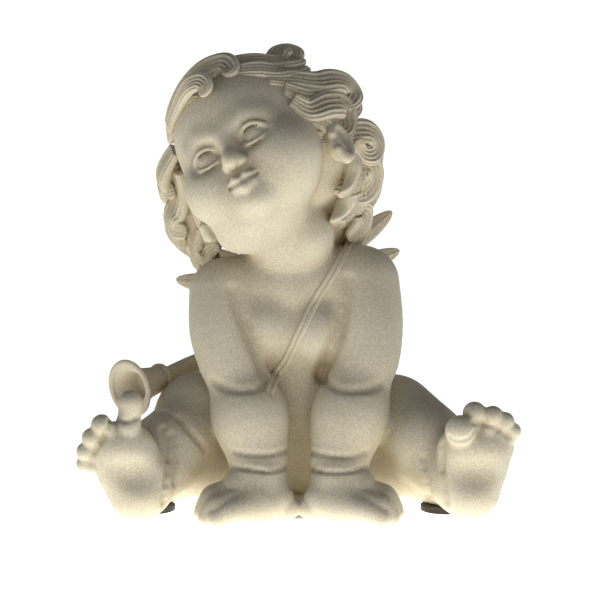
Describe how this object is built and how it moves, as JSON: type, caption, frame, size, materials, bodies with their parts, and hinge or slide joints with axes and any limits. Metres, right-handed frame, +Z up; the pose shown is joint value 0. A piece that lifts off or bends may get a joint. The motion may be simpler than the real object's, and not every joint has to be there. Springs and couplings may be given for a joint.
{
  "type": "angel figurine",
  "caption": "Seated cherub cast in ivory resin, leaning on its hands, with small wings, a horn on a strap and felt pads underneath.",
  "frame": {"origin": "under the middle of the bounding box, on the surface that the felt pads stand on", "axes": "+Z up; the figure faces -Y and its left side is at +X"},
  "size_m": [0.1856, 0.1124, 0.1965],
  "materials": {
    "resin": "matt ivory cast resin with a faint antique wash",
    "felt": "dark felt"
  },
  "bodies": {
    "root": {"cherub": "resin", "felt_pad_leg_right": "felt", "felt_pad_leg_left": "felt", "felt_pad_seat_right": "felt", "felt_pad_seat_left": "felt"}
  },
  "joints": []
}
